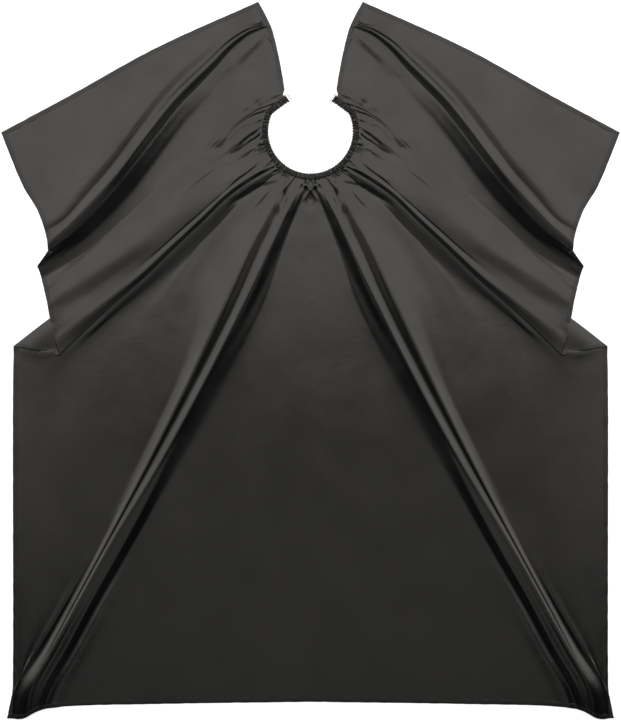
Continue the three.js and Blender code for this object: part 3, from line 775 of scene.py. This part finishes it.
def make_casing(material):
    """The gathered tube of cloth, open at both ends, with a thin wall."""
    outside, inside = casing_rings(0), casing_rings(WALL)
    stations, sides = outside.shape[:2]
    count = stations * sides
    faces = quads(stations, sides, closed=True)[:, ::-1].tolist()
    faces += quads(stations, sides, count, closed=True).tolist()
    for station, flip in ((0, False), (stations - 1, True)):
        for j in range(sides):
            k = (j + 1) % sides
            a, b = station * sides + j, station * sides + k
            face = [a, b, b + count, a + count]
            faces.append(face[::-1] if flip else face)
    vertices = np.concatenate([outside.reshape(-1, 3), inside.reshape(-1, 3)])
    return make_object("neckband_ruffle", vertices, faces, material)


def make_gather_stitches(material):
    """The row that holds the gathers, along the casing's outer side."""
    line = whole_neck(BAND_WIDTH - GATHER_STITCH_INSET)
    total = line_length(line)
    at = np.arange(GATHER_STITCH_MARGIN, total - GATHER_STITCH_MARGIN, GATHER_STITCH_PITCH)
    place = along(line, at / total)
    row = Builder()
    lift = CASING_MIDDLE_Z + CASING_HALF_HEIGHT * 0.8 + 0.7 * (beads(at) - 0.5)
    for p, h, z in zip(place, directions(place), lift):
        stitch(row, in_space(p, z), in_space(h), UP, 1.9, 0.5)
    return row.make("neckband_gather_stitches", material)


# ---- Band ends: cloth loops, wire hook and eye, bar tacks ----


def band_end(side):
    """The middle of the loop at one end of the band, and the directions across and outwards."""
    inner, corner, across, outwards = band_end_directions()
    middle = (inner + corner) / 2 - outwards * LOOP_RADIUS
    flip = np.array([side, 1])
    return in_space(middle * flip, LOOP_AXIS_Z), in_space(across * (1, side)), in_space(outwards * flip)


def placed(points, side, tilt=0.0):
    """Points given across the band, outwards along it and up, moved to one end of the band."""
    place, x_axis, y_axis = band_end(side)
    outwards = y_axis * math.cos(tilt) - UP * math.sin(tilt)
    raised = y_axis * math.sin(tilt) + UP * math.cos(tilt)
    points = np.asarray(points, float)
    return place + points[..., :1] * x_axis + points[..., 1:2] * outwards + points[..., 2:] * raised


BEND_RADIUS = 1.1
WIRE_SIDES = 12
LOOP_STATIONS = 26  # cross-sections of a cloth loop
LOOP_SIDES = 22  # points round each of its two faces
LOOP_WRAP = math.pi * 1.62  # how far it goes round the wire
TACK_STITCHES = 17
TACK_HALF_WIDTH = 4.4
TACK_SETBACK = 5.1  # from the wire fitting's axis
TACK_LEAN = 0.35


def rounded(corners, closed):
    """A line through corners with each one rounded."""
    corners = [np.array(c, float) for c in corners]
    count = len(corners)
    line = []
    for i, corner in enumerate(corners):
        if not closed and i in (0, count - 1):
            line.append(corner)
            continue
        before, after = corners[i - 1] - corner, corners[(i + 1) % count] - corner
        cut = min(BEND_RADIUS, np.linalg.norm(before) * 0.45, np.linalg.norm(after) * 0.45)
        a = corner + before / np.linalg.norm(before) * cut
        b = corner + after / np.linalg.norm(after) * cut
        for t in np.linspace(0, 1, 7):
            line.append((1 - t) ** 2 * a + 2 * t * (1 - t) * corner + t * t * b)
    return np.array(line)


def wire_tube(builder, line, closed, side, radius=WIRE_RADIUS):
    """Round wire along a line given in the band end's directions."""
    count = len(line)
    ahead = np.roll(line, -1, axis=0) - np.roll(line, 1, axis=0)
    if not closed:
        ahead[0], ahead[-1] = line[1] - line[0], line[-1] - line[-2]
    ahead /= np.linalg.norm(ahead, axis=1)[:, None]
    rings = []
    normal = UP - ahead[0] * (UP @ ahead[0])
    if np.linalg.norm(normal) < 0.1:
        normal = np.array([0, 1.0, 0])
    for p, a in zip(line, ahead):
        normal = normal - a * (normal @ a)
        normal /= np.linalg.norm(normal)
        other = np.cross(a, normal)
        turn = np.arange(WIRE_SIDES) * 2 * math.pi / WIRE_SIDES
        rings.append(p + radius * (np.cos(turn)[:, None] * normal + np.sin(turn)[:, None] * other))
    rings = placed(np.array(rings), side, FITTING_TILT)
    if not closed:
        builder.tube(rings)
        return
    faces = quads(count, WIRE_SIDES, closed=True).tolist()
    for j in range(WIRE_SIDES):
        k = (j + 1) % WIRE_SIDES
        faces.append([(count - 1) * WIRE_SIDES + j, j, k, (count - 1) * WIRE_SIDES + k])
    builder.add(rings, faces)


def make_fitting(side, material):
    """The wire hook at the -X end or the wire eye at the +X end."""
    w, d = FITTING_HALF_WIDTH, FITTING_DEPTH
    wires = Builder()
    wire_tube(wires, rounded([(-w, 0, 0), (w, 0, 0), (w, d, 0), (-w, d, 0)], True), True, side)
    back = d - TONGUE_REACH
    if side > 0:
        wire_tube(wires, np.array([(-w, back, 0), (w, back, 0)], float), False, side)
        return wires.make("wire_eye_bent", material)
    half, rise = TONGUE_LENGTH / 2, TONGUE_RISE
    tongue = [
        (-half, d, 0), (-half, d, rise), (-half, back, rise),
        (half, back, rise), (half, d, rise), (half, d, 0),
    ]
    wire_tube(wires, rounded(tongue, False), False, side)
    return wires.make("wire_hook_bent", material)


def make_end_fold(side, material):
    """The band's end turned back round the fitting's bar, a soft roll of cloth with its end sewn under."""
    name = "right" if side > 0 else "left"
    rings = []
    outside, inside = LOOP_RADIUS + 0.15, WIRE_RADIUS + 0.45
    for x in np.linspace(-BAND_WIDTH / 2, BAND_WIDTH / 2, LOOP_STATIONS):
        crumple = 0.14 * float(ripple(x, 4.1, 7 + side)) * (1 - abs(2 * x / BAND_WIDTH) ** 6)
        ring = []
        for radius, order in ((outside, 1), (inside, -1)):
            turn = (np.arange(LOOP_SIDES)[::order] / (LOOP_SIDES - 1) - 0.5) * LOOP_WRAP
            size = radius + (crumple if order > 0 else 0)
            stretch = np.where(np.cos(turn) > 0, 1.0, 1.35)
            ring += [(x, math.cos(t) * size * s, math.sin(t) * size * 0.95) for t, s in zip(turn, stretch)]
        rings.append(ring)
    fold = Builder()
    fold.tube(placed(np.array(rings), side))
    return fold.make(f"{name}_end_fold", material)


def make_bar_tack(side, material):
    """A dense zigzag of thread across the band behind the loop."""
    name = "right" if side > 0 else "left"
    place, across, outwards = band_end(side)
    tack = Builder()
    lift = UP * (CASING_MIDDLE_Z + CASING_HALF_HEIGHT - 0.1 - LOOP_AXIS_Z)
    for number, x in enumerate(np.linspace(-TACK_HALF_WIDTH, TACK_HALF_WIDTH, TACK_STITCHES)):
        lean = TACK_LEAN if number % 2 else -TACK_LEAN
        heading = outwards + across * lean
        heading /= np.linalg.norm(heading)
        stitch(tack, place - outwards * TACK_SETBACK + across * x + lift, heading, UP, 2.4, 0.6)
    return tack.make(f"{name}_bar_tack_stitches", material)


# ---- Materials ----


class Nodes:
    """A short way to add and join shader nodes."""

    def __init__(self, name):
        self.material = bpy.data.materials.new(name)
        self.material.use_nodes = True
        self.tree = self.material.node_tree
        self.shader = self.tree.nodes["Principled BSDF"]

    def add(self, kind, inputs=None, **settings):
        node = self.tree.nodes.new(kind)
        for key, value in settings.items():
            setattr(node, key, value)
        for key, value in (inputs or {}).items():
            if isinstance(value, bpy.types.NodeSocket):
                self.tree.links.new(value, node.inputs[key])
            else:
                node.inputs[key].default_value = value
        return node

    def math(self, operation, a, b=0.0, c=0.0):
        return self.add("ShaderNodeMath", {0: a, 1: b, 2: c}, operation=operation).outputs[0]

    def span(self, value, low, high, start=0.0, end=1.0):
        """A value taken from the span start to end on to the span low to high."""
        inputs = {"Value": value, "From Min": start, "From Max": end, "To Min": low, "To Max": high}
        return self.add("ShaderNodeMapRange", inputs).outputs[0]

    def noise(self, coords, scale, detail, roughness=0.5):
        inputs = {"Vector": coords, "Scale": scale, "Detail": detail, "Roughness": roughness}
        return self.add("ShaderNodeTexNoise", inputs).outputs["Fac"]

    def grey(self, value):
        return self.add("ShaderNodeCombineColor", {0: value, 1: value, 2: value}).outputs[0]

    def plug(self, socket, value):
        self.tree.links.new(value, self.shader.inputs[socket])


def weave(nodes, scale_mm, coords):
    """Small raised diamonds set corner to corner, as a dobby weave has, between 0 and 1."""
    split = nodes.add("ShaderNodeSeparateXYZ", {0: coords})
    turn = 2 * math.pi / (scale_mm * MM)
    x = nodes.math("MULTIPLY", split.outputs[0], turn)
    y = nodes.math("MULTIPLY", split.outputs[1], turn)
    waves = nodes.math("ADD", nodes.math("COSINE", x), nodes.math("COSINE", y))
    return nodes.math("MULTIPLY_ADD", waves, 0.25, 0.5)


def satin(name, colour, roughness, diamonds=0.25, shine=0.56, crease_scale=9.0, crease_depth=0.004):
    """Dark glossy cloth: a dobby weave over fine threads, with faint creases and uneven sheen."""
    nodes = Nodes(name)
    coords = nodes.add("ShaderNodeTexCoord").outputs["Object"]
    shader = nodes.shader
    pattern = weave(nodes, 3.4, coords)
    threads = nodes.add(
        "ShaderNodeTexWave", {"Vector": coords, "Scale": 520, "Distortion": 0.4, "Detail": 1.0},
        wave_type="BANDS", bands_direction="Y",
    ).outputs["Fac"]
    creases = nodes.noise(coords, crease_scale, 5.0, 0.55)
    patches = nodes.noise(coords, 11.0, 3.0, 0.6)
    tint = nodes.add(
        "ShaderNodeMix", {"Factor": 1.0, "A": (*colour, 1.0)}, data_type="RGBA", blend_type="MULTIPLY",
    )
    nodes.tree.links.new(nodes.span(pattern, 0.75, 1.2, -0.2, 0.6), tint.inputs["B"])
    nodes.plug("Base Color", tint.outputs["Result"])
    gloss = nodes.span(patches, roughness - 0.03, roughness + 0.04, 0.3, 0.7)
    nodes.plug("Roughness", nodes.math("MULTIPLY_ADD", pattern, 0.06, gloss))
    first = nodes.add("ShaderNodeBump", {"Height": creases, "Strength": 0.3, "Distance": crease_depth})
    second = nodes.add(
        "ShaderNodeBump", {"Height": pattern, "Strength": diamonds, "Distance": 0.0005,
                           "Normal": first.outputs[0]},
    )
    third = nodes.add(
        "ShaderNodeBump", {"Height": threads, "Strength": 0.06, "Distance": 0.0002,
                           "Normal": second.outputs[0]},
    )
    nodes.plug("Normal", third.outputs[0])
    nodes.plug("Specular IOR Level", nodes.span(patches, shine, shine + 0.1, 0.35, 0.65))
    return nodes.material


def thread_material():
    """Twisted sewing thread."""
    nodes = Nodes("sewing_thread")
    coords = nodes.add("ShaderNodeTexCoord").outputs["Object"]
    twist = nodes.add(
        "ShaderNodeTexWave", {"Vector": coords, "Scale": 900, "Distortion": 1.5},
        wave_type="BANDS", bands_direction="DIAGONAL",
    ).outputs["Fac"]
    nodes.plug("Base Color", nodes.grey(nodes.span(twist, 0.006, 0.016)))
    bump = nodes.add("ShaderNodeBump", {"Height": twist, "Strength": 0.4, "Distance": 0.0002})
    nodes.plug("Normal", bump.outputs[0])
    nodes.shader.inputs["Roughness"].default_value = 0.5
    return nodes.material


def elastic_material():
    """Ribbed knitted elastic."""
    nodes = Nodes("elastic")
    coords = nodes.add("ShaderNodeTexCoord").outputs["Object"]
    ribs = nodes.add(
        "ShaderNodeTexWave", {"Vector": coords, "Scale": 260, "Distortion": 0.8},
    ).outputs["Fac"]
    nodes.plug("Base Color", nodes.grey(nodes.span(ribs, 0.008, 0.03)))
    bump = nodes.add("ShaderNodeBump", {"Height": ribs, "Strength": 0.5, "Distance": 0.0004})
    nodes.plug("Normal", bump.outputs[0])
    nodes.shader.inputs["Roughness"].default_value = 0.85
    return nodes.material


def wire_material():
    """Plated steel wire, lightly drawn along its length."""
    nodes = Nodes("wire")
    coords = nodes.add("ShaderNodeTexCoord").outputs["Object"]
    grain = nodes.noise(coords, 700, 2.0)
    nodes.plug("Roughness", nodes.span(grain, 0.16, 0.32))
    nodes.plug("Base Color", nodes.grey(nodes.span(grain, 0.42, 0.58)))
    nodes.shader.inputs["Metallic"].default_value = 1.0
    return nodes.material


# ---- The pieces ----

SATIN_COLOUR = (0.0028, 0.0027, 0.0026)
satin_material = satin("satin", SATIN_COLOUR, 0.18, 0.16)
hem_material = satin("hem_satin", SATIN_COLOUR, 0.28, 0.15, 0.5)
casing_material = satin("casing_satin", SATIN_COLOUR, 0.3, 0.1, 0.5, 240.0, 0.008)
threads = thread_material()
wire_finish = wire_material()

sheet = make_sheet(satin_material)
wall = sheet.modifiers.new("thickness", "SOLIDIFY")
wall.thickness = CLOTH_THICKNESS * MM
wall.offset = 0
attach(sheet, "cape")
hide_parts("cape_panel")

trim = []
for piece, node in make_hems(hem_material, threads):
    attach(piece, "cape")
    if node:
        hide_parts(node)
    trim.append(piece)

casing = make_casing(casing_material)
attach(casing, "cape")
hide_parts("neckband_casing")
gathers = make_gather_stitches(threads)
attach(gathers, "cape")
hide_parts("neckband_gather_thread")
trim += [casing, gathers]

for side, name, node, body in ((-1, "left", "wire_hook", "hook"), (1, "right", "wire_eye", "eye")):
    fitting = make_fitting(side, wire_finish)
    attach(fitting, body)
    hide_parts(node)
    fold = make_end_fold(side, casing_material)
    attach(fold, "cape")
    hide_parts(f"{name}_end_loop")
    tack = make_bar_tack(side, threads)
    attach(tack, "cape")
    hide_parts(f"{name}_bar_tack")
    trim += [fold, tack]

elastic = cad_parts["neck_elastic"]
elastic.data.materials.clear()
elastic.data.materials.append(elastic_material())
trim.append(elastic)

# ---- Floor, light and camera ----


def make_floor():
    """A white paper floor."""
    size = 40.0 / MM
    corners = [(-size, -size, 0), (size, -size, 0), (size, size, 0), (-size, size, 0)]
    floor = make_object("floor", corners, [(0, 1, 2, 3)], smooth=False)
    nodes = Nodes("floor_paper")
    coords = nodes.add("ShaderNodeTexCoord").outputs["Object"]
    grain = nodes.noise(coords, 60.0, 3.0)
    nodes.plug("Base Color", nodes.grey(nodes.span(grain, 0.79, 0.81)))
    nodes.shader.inputs["Roughness"].default_value = 1.0
    nodes.shader.inputs["Specular IOR Level"].default_value = 0.0
    nodes.shader.inputs["Emission Color"].default_value = (1, 1, 1, 1)
    nodes.shader.inputs["Emission Strength"].default_value = 0.75
    floor.data.materials.append(nodes.material)
    return floor


LIGHT_COLOUR = (1.0, 0.965, 0.925)


def area_light(name, place, towards, width, length, watts):
    data = bpy.data.lights.new(name, "AREA")
    data.shape = "RECTANGLE"
    data.size, data.size_y = width, length
    data.energy = watts
    data.color = LIGHT_COLOUR
    lamp = bpy.data.objects.new(name, data)
    lamp.location = place
    lamp.rotation_euler = (Vector(towards) - Vector(place)).to_track_quat("-Z", "Y").to_euler()
    lamp.visible_camera = False
    bpy.context.scene.collection.objects.link(lamp)
    return lamp


make_floor()
LIT_FROM = 0.14  # how far up the cloth the softbox's near edge is
SOFTBOX_HEIGHT = 2.2
SOFTBOX_LENGTH = 4.5
softbox_y = LIT_FROM + SOFTBOX_LENGTH / 2
area_light("softbox", (0, softbox_y, SOFTBOX_HEIGHT), (0, softbox_y, 0), 8.0, SOFTBOX_LENGTH, 180)
area_light("overhead", (0, -0.83, 4.2), (0, -0.83, 0), 2.7, 2.02, 8.2)
for side in (-1, 1):
    area_light(f"side_strip_{side}", (side * 0.95, -0.2, 1.1), (side * 0.95, -0.2, 0), 0.7, 0.45, 0.5)
    area_light(f"side_wall_{side}", (side * 4.1, 2.0, 1.1), (0, 2.0, 1.1), 5.0, 2.2, 58)
area_light("front_wall", (0, -4.5, 2.2), (0, 0, 0), 6.0, 2.0, 16)

world = bpy.data.worlds.new("studio")
world.use_nodes = True
world.node_tree.nodes["Background"].inputs["Color"].default_value = (0.9, 0.95, 1.0, 1)
world.node_tree.nodes["Background"].inputs["Strength"].default_value = 0.015
bpy.context.scene.world = world
bpy.context.scene.view_settings.view_transform = "Standard"

CAMERA_HEIGHT = 3.6
lens = bpy.data.cameras.new("camera")
lens.lens = 100
lens.sensor_width = 36
camera = bpy.data.objects.new("camera", lens)
camera.location = (0, 0, CAMERA_HEIGHT)
bpy.context.scene.collection.objects.link(camera)
bpy.context.scene.camera = camera
